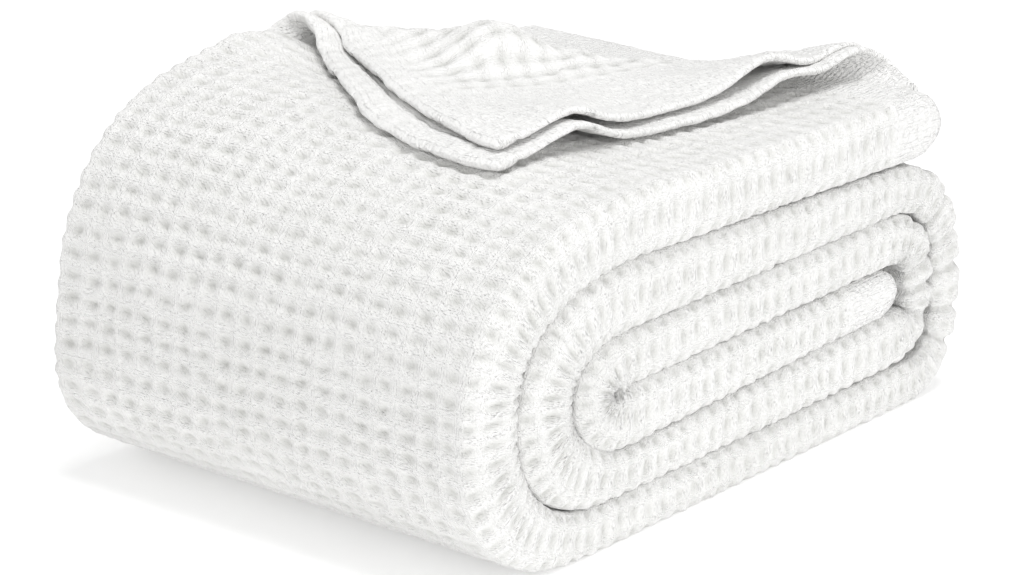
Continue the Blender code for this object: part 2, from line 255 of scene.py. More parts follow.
# Creases where the cloth is squeezed in the right bends: share of the way between two runs, width and depth
Crease = namedtuple("Crease", "before after share width depth")
CREASES = (
    Crease("middle_top", "floor", 0.18, 0.0034, 0.0016),
    Crease("middle_top", "floor", 0.31, 0.0026, 0.0029),
    Crease("middle_top", "floor", 0.43, 0.0029, 0.0024),
    Crease("middle_top", "floor", 0.52, 0.0022, 0.0032),
    Crease("middle_top", "floor", 0.66, 0.0031, 0.0029),
    Crease("middle_top", "floor", 0.78, 0.0026, 0.0035),
    Crease("inner_top", "inner_floor", 0.22, 0.0029, 0.0019),
    Crease("inner_top", "inner_floor", 0.40, 0.0026, 0.0032),
    Crease("inner_top", "inner_floor", 0.55, 0.0031, 0.0035),
    Crease("inner_top", "inner_floor", 0.70, 0.0026, 0.0032),
)

# Loose waves along the turned-back end: where they rise, measured from the corner along the hem
Ripple = namedtuple("Ripple", "at width height")
LOWER_RIPPLES = (
    Ripple(0.047, 0.016, 0.0090),
    Ripple(0.172, 0.026, 0.0110),
)
UPPER_RIPPLES = (
    Ripple(0.044, 0.017, 0.0085),
    Ripple(0.158, 0.026, 0.0145),
)

# The two turned plies: depth below the strip's face, lift of each above the roll when turned, waves, how far
# the ply slips past the fold, and how far and in how many half waves its loose corner is pulled to the left
Ply = namedtuple("Ply", "name depth stack ripples slip pull half_waves")
LOWER_STACK = SIDE_HEM_THICKNESS / 2
UPPER_STACK = LOWER_STACK + PLY_PITCH + REST_GAP
LOWER_PLY = Ply("turned_lower", PLY_PITCH / 2, LOWER_STACK, LOWER_RIPPLES, 0.0, 0.067, 0.68)
UPPER_PLY = Ply("turned_upper", 1.5 * PLY_PITCH, UPPER_STACK, UPPER_RIPPLES, 0.004, 0.058, 0.55)

# Unevenness of the cloth, as layers of smooth random values. The stretch is how many values fall on a cell.
# The size of a drift is in cells, of a swell a share of the pockets' depth, and of a lump in metres.
Grain = namedtuple("Grain", "seed stretch size")
DRIFTS = (Grain(11, 0.42, 0.16), Grain(12, 1.30, 0.11))
COLUMN_DRIFTS = (Grain(21, 0.42, 0.16), Grain(22, 1.30, 0.07))
SWELLS = (Grain(31, 0.60, 0.16), Grain(32, 1.70, 0.16))
LUMPS = (Grain(41, 2.30, 0.00022), Grain(42, 3.70, 0.00030))
# How the hems of the turned plies wander, and how unevenly those plies lie, in metres
HEM_WANDER = (Grain(51, 0.55, 0.0012), Grain(52, 1.70, 0.0006))
SAGS = (Grain(61, 0.23, 0.0012), Grain(62, 0.60, 0.0005))
SAG_LIFT = 0.0008
CREASE_WANDER = (Grain(71, 0.35, 0.0030),)
GRAIN_SIZE = 128


def smooth_share(value):
    """Ease from 0 to 1 with level ends, on numbers or arrays."""
    share = np.clip(value, 0.0, 1.0)
    return share * share * (3.0 - 2.0 * share)


def grain(table, rows, columns):
    """Sum of layers of smooth random values over the cell grid, the same on every run."""
    total = 0.0
    for row in table:
        values = np.random.default_rng(row.seed).uniform(-1.0, 1.0, (GRAIN_SIZE, GRAIN_SIZE))
        low_row = np.floor(rows * row.stretch)
        low_column = np.floor(columns * row.stretch)
        down = smooth_share(rows * row.stretch - low_row)
        across = smooth_share(columns * row.stretch - low_column)
        r0 = np.mod(low_row, GRAIN_SIZE).astype(int)
        c0 = np.mod(low_column, GRAIN_SIZE).astype(int)
        r1 = (r0 + 1) % GRAIN_SIZE
        c1 = (c0 + 1) % GRAIN_SIZE
        near = values[r0, c0] * (1.0 - across) + values[r0, c1] * across
        far = values[r1, c0] * (1.0 - across) + values[r1, c1] * across
        total = total + row.size * (near * (1.0 - down) + far * down)
    return total


def waffle(rows, columns):
    """Height of the waffle weave, 1 on its ridges and 0 in the middle of its pockets."""
    drifted_rows = rows + grain(DRIFTS, rows, columns)
    drifted_columns = columns + grain(COLUMN_DRIFTS, rows, columns)
    row_ridge = np.abs(np.cos(np.pi * drifted_rows)) ** (2 * ROW_NARROWNESS)
    column_ridge = COLUMN_SHARE * np.abs(np.cos(np.pi * drifted_columns)) ** (2 * COLUMN_NARROWNESS)
    height = 1.0 - (1.0 - row_ridge) * (1.0 - column_ridge)
    depth = 1.0 + grain(SWELLS, rows, columns)
    return 1.0 - (1.0 - height) * depth


def run_points(run):
    """Middle line and thickness of one straight length."""
    share = np.linspace(0.0, 1.0, RUN_SAMPLES)
    return np.stack((
        run.x_from + (run.x_to - run.x_from) * share,
        run.z_from + (run.z_to - run.z_from) * share,
        run.thick_from + (run.thick_to - run.thick_from) * share,
    ), axis=1)


def bend_points(before, bend, after):
    """Middle line and thickness of one bend: two full quarter ovals that meet at its tip."""
    steps = np.arange(1, 2 * BEND_SAMPLES)
    angle = math.pi / 2 * steps / BEND_SAMPLES
    rising = steps <= BEND_SAMPLES
    x_side = np.where(rising, before.x_to, after.x_from)
    z_side = np.where(rising, before.z_to, after.z_from)
    side_thick = np.where(rising, before.thick_to, after.thick_from)
    power = 2.0 / bend.fullness
    return np.stack((
        x_side + (bend.x_tip - x_side) * np.abs(np.sin(angle)) ** power,
        bend.z_tip + (z_side - bend.z_tip) * np.abs(np.cos(angle)) ** power,
        side_thick + (bend.thick - side_thick) * smooth_share(np.abs(np.sin(angle))),
    ), axis=1)


class Winding:
    """The strip's whole middle line, evenly spaced and eased, with its thickness and heading."""

    def __init__(self):
        points = []
        for place, piece in enumerate(WINDING):
            if isinstance(piece, Run):
                points.append(run_points(piece))
            else:
                points.append(bend_points(WINDING[place - 1], piece, WINDING[place + 1]))
        line = np.concatenate(points)
        reach = np.concatenate(([0.0], np.cumsum(np.hypot(*np.diff(line[:, :2], axis=0).T))))
        places = np.arange(0.0, reach[-1], FINE_STEP)
        line = np.stack([np.interp(places, reach, line[:, column]) for column in range(3)], axis=1)
        window = int(SMOOTH_REACH / FINE_STEP) | 1
        half = window // 2
        padded = np.concatenate((2 * line[0] - line[half:0:-1], line, 2 * line[-1] - line[-2:-half - 2:-1]))
        kernel = np.ones(window) / window
        line = np.stack([np.convolve(padded[:, column], kernel, "valid") for column in range(3)], axis=1)
        self.x, self.z, self.thick = line.T
        ahead = np.gradient(line[:, :2], axis=0)
        self.heading = np.unwrap(np.arctan2(ahead[:, 1], ahead[:, 0]))
        self.s = np.arange(len(line)) * FINE_STEP
        self.length = self.s[-1]
        last = len(line) - 1
        spots = np.arange(len(line))
        before = np.maximum(spots - BEND_REACH, 0)
        after = np.minimum(spots + BEND_REACH, last)
        turning = np.abs(self.heading[after] - self.heading[before]) / ((after - before) * FINE_STEP)
        self.inner = np.minimum(self.thick / 2, FOLD_LIMIT / np.maximum(turning, 1.0))
        outer_x = self.x - np.sin(self.heading) * self.thick / 2
        outer_z = self.z + np.cos(self.heading) * self.thick / 2
        self.outer_s = np.concatenate(([0.0], np.cumsum(np.hypot(np.diff(outer_x), np.diff(outer_z)))))
        first = last
        while outer_x[first - 1] < outer_x[first]:
            first -= 1
        self.top_x = outer_x[first:]
        self.top_z = outer_z[first:]

    def place_of(self, name, share=0.0):
        """Distance along the strip at which a named run has gone a share of its way."""
        run = next(piece for piece in WINDING if piece.name == name)
        x = run.x_from + (run.x_to - run.x_from) * share
        z = run.z_from + (run.z_to - run.z_from) * share
        return self.s[np.argmin(np.hypot(self.x - x, self.z - z))]

    def at(self, values, s):
        """One of the line's columns at distances along it."""
        return np.interp(s, self.s, values)

    def end_round(self, s):
        """Share of its thickness that the strip keeps as it rounds off at its two ends."""
        inset = np.minimum(s, self.length - s)
        reach = np.where(s < self.length / 2, self.thick[0], self.thick[-1]) / 2
        share = np.clip(1.0 - inset / reach, 0.0, 1.0)
        return np.maximum(np.sqrt(1.0 - share * share), END_THIN)


def crowned(x, y, z):
    """Points of the even roll, moved as its far end is taller on the left and spread at the heel."""
    share = (y + HALF_WIDTH) / STRIP_WIDTH
    tall = CROWN * share * smooth_share((CROWN_FROM_X - x) / (CROWN_FROM_X - CROWN_FULL_X))
    side = smooth_share((HEEL_FROM_X - x) / (HEEL_FROM_X - HEEL_FULL_X))
    spread = HEEL_SPREAD * share * side * np.exp(-((z - HEEL_HEIGHT) / HEEL_REACH) ** 2)
    return np.stack((x - spread, y, z * (1.0 + tall)), axis=-1)


def loop_value(along, column):
    """A column of the loop table at distances along the fold line, eased between its rows."""
    rows = np.array([row.along for row in LOOP])
    values = np.array([getattr(row, column) for row in LOOP])
    after = np.clip(np.searchsorted(rows, along, side="right"), 1, len(LOOP) - 1)
    share = smooth_share((along - rows[after - 1]) / (rows[after] - rows[after - 1]))
    return values[after - 1] + (values[after] - values[after - 1]) * share


def fold_distance(x, y):
    """Distances along the fold line and across it, for points of the flat strip seen from above."""
    from_x = x - FOLD_POINT[0]
    from_y = y - FOLD_POINT[1]
    along = from_x * FOLD_ALONG.x + from_y * FOLD_ALONG.y
    across = from_x * FOLD_ACROSS.x + from_y * FOLD_ACROSS.y
    return along, across


def past_loop_start(x, y):
    """Distance along the fold line, and how far past the start of the loop, for points of the flat strip."""
    along, across = fold_distance(x, y)
    return along, across + math.pi * (loop_value(along, "inside") + PLY_PITCH / 2) / 2


class TurnedCorner:
    """Places points of the strip's flat top after its far corner has been turned over the fold line."""

    def __init__(self, winding):
        self.winding = winding
        self.end_x = WINDING[-1].x_to
        self.end_round = WINDING[-1].thick_to / 2

    def top(self, x, y):
        """Height of the roll's upper face."""
        height = np.interp(x, self.winding.top_x, self.winding.top_z)
        share = np.clip((x - (self.end_x - self.end_round)) / self.end_round, 0.0, ROUND_LIMIT)
        height = height - self.end_round * (1.0 - np.sqrt(1.0 - share * share))
        return crowned(x, y, height)[..., 2]

    def edge_drop(self, y):
        """How far the rounded front edge falls below the broad face."""
        share = np.clip((self.end_round - HALF_WIDTH - y) / self.end_round, 0.0, ROUND_LIMIT)
        return self.end_round * (1.0 - np.sqrt(1.0 - share * share))

    def pull(self, ply, x, y):
        """Sideways stretch that draws the loose corner out over the left of the roll."""
        share = np.clip((x - FOLD_POINT[0]) / (TURNED_END_X - FOLD_POINT[0]), 0.0, 1.0)
        fade = 1.0 - np.clip((TURNED_BACK_Y - y) / CORNER_PULL_FADE, 0.0, 1.0)
        return ply.pull * np.sin(math.pi * ply.half_waves * share) * fade

    def ripple(self, table, x, y):
        """Lift of the waves along the end hem."""
        fade = 1.0 - smooth_share((TURNED_END_X - x) / RIPPLE_DEPTH)
        lift = sum(r.height * np.exp(-((TURNED_BACK_Y - y - r.at) / r.width) ** 2) for r in table)
        return lift * fade

    def place(self, ply, x, y):
        """Where points of a ply of the flat strip lie once its corner is turned."""
        along, past = past_loop_start(x, y)
        inside = loop_value(along, "inside")
        depth = ply.depth * loop_value(along, "pressed")
        radius = inside + depth
        free = smooth_share(1.0 + past / RAMP_LENGTH)
        lift = loop_value(along, "lift") * free
        sunk_y = y - (1.0 - free) * np.maximum(y - SUNK_BACK_Y, 0.0)
        sunk = SUNK_DEPTH * smooth_share(-past / SUNK_REACH)
        flat_z = self.top(x, y) + lift - depth - sunk - self.edge_drop(y)
        foot_x = x - FOLD_ACROSS.x * past
        foot_y = y - FOLD_ACROSS.y * past
        base = self.top(np.minimum(foot_x, self.end_x - self.end_round), foot_y) + inside + lift
        base = base - self.edge_drop(foot_y)
        angle = np.clip(past / radius, 0.0, math.pi)
        out = radius * np.sin(angle)
        over = np.maximum(past - math.pi * radius, 0.0)
        slipped = ply.slip * (1.0 - smooth_share((TURNED_BACK_Y - y - SLIP_FROM) / SLIP_FADE))
        over = over + slipped * smooth_share(over / SETTLE_LENGTH)
        pulled = np.sin(math.pi / 2 * np.clip(over / PULL_START, 0.0, 1.0)) * smooth_share(over / PULL_EASE)
        spot_x = foot_x + FOLD_ACROSS.x * (out - over) - self.pull(ply, x, y) * pulled
        spot_y = foot_y + FOLD_ACROSS.y * (out - over)
        settled = smooth_share(over / SETTLE_LENGTH)
        loose = base - radius * np.cos(angle)
        resting = self.top(spot_x, spot_y) + REST_GAP + ply.stack
        height = loose + (resting - loose) * settled
        height = height + self.ripple(ply.ripples, x, y) * smooth_share(over / RIPPLE_DEPTH)
        height = height + (grain(SAGS, x / CELL, y / CELL) + SAG_LIFT) * settled
        flat = past <= 0.0
        nose = smooth_share((x - NOSE_FROM_X) / NOSE_EASE_X)
        tucked = NOSE_TUCK * nose * (1.0 - smooth_share((past + NOSE_BEFORE) / NOSE_EASE))
        return np.stack((
            np.where(flat, x, spot_x) - tucked,
            np.where(flat, sunk_y, spot_y),
            np.where(flat, flat_z, height),
        ), axis=-1)


def section(v, outer, inner):
    """Places on the strip's section, from cell counts around it, as y and the offset from its middle."""
    depth = 2.0 * outer * EDGE_DEPTH
    half_face = HALF_WIDTH - depth
    back_turn = math.pi * (np.clip(v / EDGE_CELLS, 0.0, 1.0) - 0.5)
    across = np.clip((v - EDGE_CELLS) / FACE_CELLS, 0.0, 1.0)
    front_turn = math.pi * (np.clip((v - EDGE_CELLS - FACE_CELLS) / EDGE_CELLS, 0.0, 1.0) - 0.5)
    under = np.clip((v - 2 * EDGE_CELLS - FACE_CELLS) / FACE_CELLS, 0.0, 1.0)
    y = half_face * (1.0 - 2.0 * across + 2.0 * under)
    on_back = v < EDGE_CELLS
    on_front = (v >= EDGE_CELLS + FACE_CELLS) & (v < 2 * EDGE_CELLS + FACE_CELLS)
    y = np.where(on_back, half_face + depth * np.abs(np.cos(back_turn)) ** EDGE_SQUARE, y)
    y = np.where(on_front, -half_face - depth * np.abs(np.cos(front_turn)) ** EDGE_SQUARE, y)
    turn = np.where(v < EDGE_CELLS + FACE_CELLS, np.sin(back_turn), -np.sin(front_turn))
    turn = np.sign(turn) * np.abs(turn) ** FACE_SQUARE
    return y, turn * np.where(turn > 0.0, outer, inner), turn


def strip_points(winding, s, v):
    """Points of the wound strip's skin, without its relief."""
    s = np.clip(s, 0.0, winding.length)
    rounded = winding.end_round(s)
    outer = winding.at(winding.thick, s) / 2 * rounded
    inner = np.minimum(winding.at(winding.inner, s), outer)
    y, offset, turn = section(np.mod(v, AROUND_CELLS), outer, inner)
    heading = winding.at(winding.heading, s)
    x = winding.at(winding.x, s)
    along, past = past_loop_start(x, y)
    on_top = smooth_share((s - winding.place_of("top")) / TOP_EASE + 1.0) * np.clip(turn, 0.0, 1.0)
    behind = smooth_share((past - LEDGE_FROM) / LEDGE_EASE)
    lift = loop_value(along, "lift") * smooth_share(1.0 + past / RAMP_LENGTH) * (1.0 - behind)
    offset = offset + (lift - LEDGE_DEPTH * behind) * on_top * rounded
    z = winding.at(winding.z, s) + np.cos(heading) * offset
    return crowned(x - np.sin(heading) * offset, y, z)


def unit_normals(along_rows, along_columns):
    """Normals of a surface from its two directions."""
    normals = np.cross(along_rows, along_columns)
    return normals / np.maximum(np.linalg.norm(normals, axis=-1, keepdims=True), TINY)


def flat_grid(name, columns, rows):
    """A flat grid of faces, made into a mesh, with each vertex's column and row."""
    mesh = bmesh.new()
    bmesh.ops.create_grid(mesh, x_segments=columns, y_segments=rows, size=0.5)
    data = bpy.data.meshes.new(name)
    mesh.to_mesh(data)
    mesh.free()
    places = read_points(data)
    column = np.rint((places[:, 0] + 0.5) * columns).astype(int)
    row = np.rint((places[:, 1] + 0.5) * rows).astype(int)
    return data, column, row


def read_points(data):
    """A mesh's vertices as an array."""
    places = np.empty(len(data.vertices) * 3)
    data.vertices.foreach_get("co", places)
    return places.reshape(-1, 3)


def write_points(data, places):
    """Moves a mesh's vertices."""
    data.vertices.foreach_set("co", places.ravel())
    data.update()


def write_attribute(data, name, kind, values):
    """Stores values on a mesh's vertices, for its material."""
    attribute = data.attributes.new(name, kind, "POINT")
    field = "vector" if kind == "FLOAT_VECTOR" else "value"
    attribute.data.foreach_set(field, values.astype(np.float32).ravel())


def close_tube(data):
    """Joins the tube's long seam, caps both ends and turns the faces outwards."""
    mesh = bmesh.new()
    mesh.from_mesh(data)
    rim = [vertex for vertex in mesh.verts if vertex.is_boundary]
    bmesh.ops.remove_doubles(mesh, verts=rim, dist=MERGE_DISTANCE)
    open_edges = [edge for edge in mesh.edges if edge.is_boundary]
    caps = bmesh.ops.holes_fill(mesh, edges=open_edges, sides=0)["faces"]
    for cap in caps:
        cap.smooth = False
        for edge in cap.edges:
            edge.smooth = False
    bmesh.ops.recalc_face_normals(mesh, faces=mesh.faces)
    mesh.to_mesh(data)
    mesh.free()


def wrinkles(winding, s, v):
    """Depth of the creases in the squeezed bends."""
    depth = 0.0
    wander = grain(CREASE_WANDER, s / CELL, v)
    for crease in CREASES:
        start = winding.place_of(crease.before, 1.0)
        place = start + (winding.place_of(crease.after) - start) * crease.share
        depth = depth + crease.depth * np.exp(-((s - place + wander) / crease.width) ** 2)
    return depth


def strip_piece(name, winding, s_lines, v_lines, material):
    """One length of the wound strip: a closed tube with the weave as relief."""
    data, columns, rows = flat_grid(name, len(v_lines) - 1, len(s_lines) - 1)
    s = s_lines[rows]
    v = v_lines[columns]
    step_v = SIDE_STEP / CELL
    base = strip_points(winding, s, v)
    ahead = strip_points(winding, s + SIDE_STEP, v)
    along = ahead - strip_points(winding, s - SIDE_STEP, v)
    around = strip_points(winding, s, v + step_v) - strip_points(winding, s, v - step_v)
    normals = unit_normals(around, along)
    y = base[:, 1]
    v = np.mod(v, AROUND_CELLS)
    share = np.clip((y + HALF_WIDTH) / STRIP_WIDTH, 0.0, 1.0)
    climbing = s > winding.place_of("floor")
    climb = np.where(climbing, CROWN * share * winding.at(winding.z, s), 0.0)
    bow = ROW_BOW * share ** ROW_BOW_POWER
    u = (winding.at(winding.outer_s, s) + climb) / ROW_PITCH + bow
    inset = np.minimum(s, winding.length - s)
    border = smooth_share((STRIP_BORDER - inset) / BORDER_EASE)
    _, past = past_loop_start(base[:, 0], y)
    on_loop = smooth_share((past + LIFTED_BEFORE) / LIFTED_EASE)
    lifted = np.where(climbing & (base[:, 2] > UPPER_HALF_Z), on_loop, 0.0)
    height = waffle(u, v)
    behind = BACK_RELIEF + (1.0 - BACK_RELIEF) * smooth_share(np.minimum(v, AROUND_CELLS - v) / EDGE_CELLS)
    from_front = np.abs(v - FRONT_MIDDLE) / EDGE_CELLS
    before = 1.0 - (1.0 - SEAM_RELIEF) * np.exp(-((from_front - SEAM_AT) / SEAM_WIDTH) ** 2)
    stretched = 1.0 - CALM_SHARE * smooth_share((base[:, 0] - CALM_FROM_X) / CALM_EASE_X)
    relief = RELIEF * (height - 1.0) * (1.0 - border) * (1.0 - lifted) * behind * before * stretched
    relief = relief + RELIEF_PROUD
    relief = relief - wrinkles(winding, s, v) * smooth_share(CREASE_REACH - from_front)
    relief = relief + grain(LUMPS, u, v)
    relief = relief * winding.end_round(s)
    write_points(data, base + normals * relief[:, None])
    write_attribute(data, "weave", "FLOAT_VECTOR", np.stack((u, v, height), axis=1))
    write_attribute(data, "border", "FLOAT", border)
    data.shade_smooth()
    close_tube(data)
    return finished(name, data, material)


def finished(name, data, material):
    """An object for a mesh, with its material, riding on the roll."""
    data.materials.append(material)
    piece = bpy.data.objects.new(name, data)
    bpy.context.scene.collection.objects.link(piece)
    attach(piece, "root")
    return piece


def lines_along(winding, s_from, s_to, lines_a_cell):
    """Distances along the strip for the rows of a piece, evenly spaced on its outer face."""
    out_from, out_to = winding.at(winding.outer_s, [s_from, s_to])
    count = max(int(round((out_to - out_from) / ROW_PITCH * lines_a_cell)), 1)
    return np.interp(np.linspace(out_from, out_to, count + 1), winding.outer_s, winding.s)


def end_lines(winding, at_start):
    """Extra rows that round off one end of the strip."""
    reach = (winding.thick[0] if at_start else winding.thick[-1]) / 2
    shares = np.array(END_SHARES) * reach
    return shares if at_start else (winding.length - shares)[::-1]


def lines_around(face_shown):
    """Cell counts around the section for the columns of a piece: fine where it shows, coarse where not."""
    edge = np.linspace(0.0, EDGE_CELLS, EDGE_CELLS * LINES_A_CELL + 1)
    hidden = np.concatenate((
        np.linspace(0.0, 1.0, LINES_A_CELL + 1),
        np.linspace(1.0, FACE_CELLS - 1.0, HIDDEN_LINES)[1:-1],
        np.linspace(FACE_CELLS - 1.0, FACE_CELLS, LINES_A_CELL + 1),
    ))
    shown = np.linspace(0.0, FACE_CELLS, FACE_CELLS * LINES_A_CELL + 1)
    outer = shown if face_shown else hidden
    starts = (0.0, EDGE_CELLS, EDGE_CELLS + FACE_CELLS, 2 * EDGE_CELLS + FACE_CELLS)
    parts = [start + part[:-1] for start, part in zip(starts, (edge, outer, edge, hidden))]
    return np.concatenate(parts + [[AROUND_CELLS]])


def ply_thickness(x, y):
    """Thickness of a turned ply: its hems, its stitch groove and its rounded rims."""
    from_end = TURNED_END_X - x
    from_side = TURNED_BACK_Y - y
    tube = np.clip(1.0 - ((from_side - SIDE_HEM_WIDTH / 2) / (SIDE_HEM_WIDTH / 2)) ** 2, 0.0, 1.0)
    thick = PLY_THICKNESS + (SIDE_HEM_THICKNESS - PLY_THICKNESS) * np.sqrt(tube)
    end_band = 1.0 - smooth_share((from_end - END_HEM_WIDTH) / STITCH_WIDTH)
    thick = np.maximum(thick, PLY_THICKNESS + (END_HEM_THICKNESS - PLY_THICKNESS) * end_band)
    groove = STITCH_GROOVE * np.exp(-((from_end - END_HEM_WIDTH) / STITCH_WIDTH) ** 2)
    groove = groove + STITCH_GROOVE * np.exp(-((from_side - SIDE_HEM_WIDTH) / STITCH_WIDTH) ** 2)
    near = np.clip(np.minimum(from_end, from_side) / RIM_ROUND, 0.0, 1.0)
    return (thick - groove) * np.sqrt(np.maximum(1.0 - (1.0 - near) ** 2, RIM_THIN))


def turned_ply(ply, corner, material):
    """One ply of the turned-back corner: a closed sheet with its weave, border and hems."""
    across_steps = int(TURNED_INWARD / SHEET_STEP)
    down_steps = int(TURNED_DOWN / SHEET_STEP)
    mesh = bmesh.new()
    bmesh.ops.create_grid(mesh, x_segments=across_steps, y_segments=down_steps, size=0.5)
    bmesh.ops.scale(mesh, vec=(TURNED_INWARD, TURNED_DOWN, 1.0), verts=mesh.verts)
    middle = (TURNED_END_X - TURNED_INWARD / 2, TURNED_BACK_Y - TURNED_DOWN / 2, 0.0)
    bmesh.ops.translate(mesh, vec=middle, verts=mesh.verts)
    everything = list(mesh.verts) + list(mesh.edges) + list(mesh.faces)
    across = Vector((FOLD_ACROSS.x, FOLD_ACROSS.y, 0.0))
    kept_from = Vector((*FOLD_POINT, 0.0)) + across * TURNED_KEPT
    bmesh.ops.bisect_plane(mesh, geom=everything, plane_co=kept_from, plane_no=across, clear_inner=True)
    flat_area = sum(face.calc_area() for face in mesh.faces)
    lifted = bmesh.ops.extrude_face_region(mesh, geom=list(mesh.faces))["geom"]
    upper = [item for item in lifted if isinstance(item, bmesh.types.BMVert)]
    bmesh.ops.translate(mesh, vec=(0.0, 0.0, 1.0), verts=upper)
    bmesh.ops.recalc_face_normals(mesh, faces=mesh.faces)
    data = bpy.data.meshes.new(ply.name)
    mesh.to_mesh(data)
    mesh.free()
    flat = read_points(data)
    x = flat[:, 0]
    y = flat[:, 1]
    # The two faces of the ply are a metre apart until they are placed
    side = np.where(flat[:, 2] > 0.5, 1.0, -1.0)

    u = x / CELL
    v = y / CELL
    end_slack = smooth_share(1.0 - (TURNED_END_X - x) / HEM_SLACK)
    side_slack = smooth_share(1.0 - (TURNED_BACK_Y - y) / HEM_SLACK)
    loose_x = x + grain(HEM_WANDER, v, ply.stack / CELL) * end_slack
    loose_y = y + grain(HEM_WANDER, u, ply.stack / CELL) * side_slack

    def placed(dx, dy):
        return corner.place(ply, loose_x + dx, loose_y + dy)

    base = placed(0.0, 0.0)
    inward = placed(SIDE_STEP, 0.0) - placed(-SIDE_STEP, 0.0)
    backward = placed(0.0, SIDE_STEP) - placed(0.0, -SIDE_STEP)
    normals = unit_normals(inward, backward)
    border = smooth_share((PLY_BORDER - (TURNED_END_X - x)) / BORDER_EASE)
    hem = (1.0 - HEM_RELIEF) * (1.0 - smooth_share((TURNED_BACK_Y - y - SIDE_HEM_WIDTH) / BORDER_EASE))
    flat_share = np.maximum(border, hem)
    shift = PLY_BACK_SHIFT * (1.0 - side)
    height = waffle(u + shift, v + shift)
    relief = PLY_RELIEF * (height - PLY_RELIEF_LEVEL) * (1.0 - flat_share)
    offset = ply_thickness(x, y) / 2 + relief + grain(LUMPS, u, v)
    write_points(data, base + normals * (side * offset)[:, None])
    write_attribute(data, "weave", "FLOAT_VECTOR", np.stack((u, v, height), axis=1))
    write_attribute(data, "border", "FLOAT", flat_share)
    data.shade_smooth()
    piece = finished(ply.name, data, material)


def new_group(name, inputs, outputs):
    """An empty shader node group with named sockets, and its two end nodes."""
    group = bpy.data.node_groups.new(name, "ShaderNodeTree")
    for socket, kind, value in inputs:
        made = group.interface.new_socket(name=socket, in_out="INPUT", socket_type=kind)
        if value is not None:
            made.default_value = value
    for socket, kind in outputs:
        group.interface.new_socket(name=socket, in_out="OUTPUT", socket_type=kind)
    return group, group.nodes.new("NodeGroupInput"), group.nodes.new("NodeGroupOutput")


def calculate(tree, operation, first, second=None, third=None):
    """A Math node on sockets or plain numbers, and its result."""
    node = tree.nodes.new("ShaderNodeMath")
    node.operation = operation
    for place, value in enumerate((first, second, third)):
        if value is None:
            continue
        if isinstance(value, (int, float)):
            node.inputs[place].default_value = value
        else:
            tree.links.new(value, node.inputs[place])
    return node.outputs[0]


def noise(tree, vector, scale, detail):
    """A noise value at a scale."""
    node = tree.nodes.new("ShaderNodeTexNoise")
    tree.links.new(vector, node.inputs["Vector"])
    node.inputs["Scale"].default_value = scale
    node.inputs["Detail"].default_value = detail
    return node.outputs["Fac"]


def thread_group():
    """Yarns of the weave: floats that lie along the ridges, and ribs in the flat borders."""
    float_socket = "NodeSocketFloat"
    group, start, end = new_group(
        "threads",
        (
            ("Weave", "NodeSocketVector", None),
            ("Border", float_socket, 0.0),
            ("Wander", float_socket, 0.0),
            ("Threads", float_socket, THREADS_A_CELL),
            ("Ribs", float_socket, RIBS_A_CELL),
        ),
        (("Height", float_socket),),
    )
    split = group.nodes.new("ShaderNodeSeparateXYZ")
    group.links.new(start.outputs["Weave"], split.inputs[0])
    rows, columns, _ = split.outputs

    def stripes(cells, count):
        turns = calculate(group, "MULTIPLY", cells, count)
        turned = calculate(group, "ADD", turns, start.outputs["Wander"])
        wave = calculate(group, "SINE", calculate(group, "MULTIPLY", turned, 2.0 * math.pi))
        return calculate(group, "MULTIPLY_ADD", wave, 0.5, 0.5)

    def ridge(cells):
        wave = calculate(group, "COSINE", calculate(group, "MULTIPLY", cells, math.pi))
        return calculate(group, "MULTIPLY", wave, wave)

    along_rows = calculate(group, "MULTIPLY", stripes(rows, start.outputs["Threads"]), ridge(rows))
    along_columns = calculate(group, "MULTIPLY", stripes(columns, start.outputs["Threads"]), ridge(columns))
    yarn = calculate(group, "MAXIMUM", along_rows, along_columns)
    ribs = calculate(group, "MULTIPLY", stripes(columns, start.outputs["Ribs"]), RIB_HEIGHT)
    mixed = group.nodes.new("ShaderNodeMix")
    group.links.new(start.outputs["Border"], mixed.inputs["Factor"])
    group.links.new(yarn, mixed.inputs["A"])
    group.links.new(ribs, mixed.inputs["B"])
    group.links.new(mixed.outputs["Result"], end.inputs["Height"])
    return group


def nap_group():
    """Nap of washed cotton: fine lint and slanting strokes over clumps, and two coarser unevennesses."""
    group, start, end = new_group(
        "nap",
        (
            ("Place", "NodeSocketVector", None),
            ("Weave", "NodeSocketVector", None),
        ),
        (("Height", "NodeSocketFloat"), ("Wander", "NodeSocketFloat"), ("Patches", "NodeSocketFloat")),
    )
    place = start.outputs["Place"]
    lint = noise(group, place, LINT_SCALE, 3.0)
    clumps = noise(group, place, CLUMP_SCALE, 3.0)
    fine = calculate(group, "MULTIPLY_ADD", lint, LINT_WEIGHT, clumps)
    turned = group.nodes.new("ShaderNodeMapping")
    turned.vector_type = "TEXTURE"
    turned.inputs["Rotation"].default_value = (0.0, 0.0, STROKE_SLANT)
    turned.inputs["Scale"].default_value = STROKE_SIZE
    group.links.new(start.outputs["Weave"], turned.inputs["Vector"])
    strokes = noise(group, turned.outputs["Vector"], 1.0, 2.0)
    group.links.new(calculate(group, "MULTIPLY_ADD", strokes, STROKE_WEIGHT, fine), end.inputs["Height"])
    group.links.new(noise(group, place, WANDER_SCALE, 2.0), end.inputs["Wander"])
    group.links.new(noise(group, place, PATCH_SCALE, 3.0), end.inputs["Patches"])
    return group


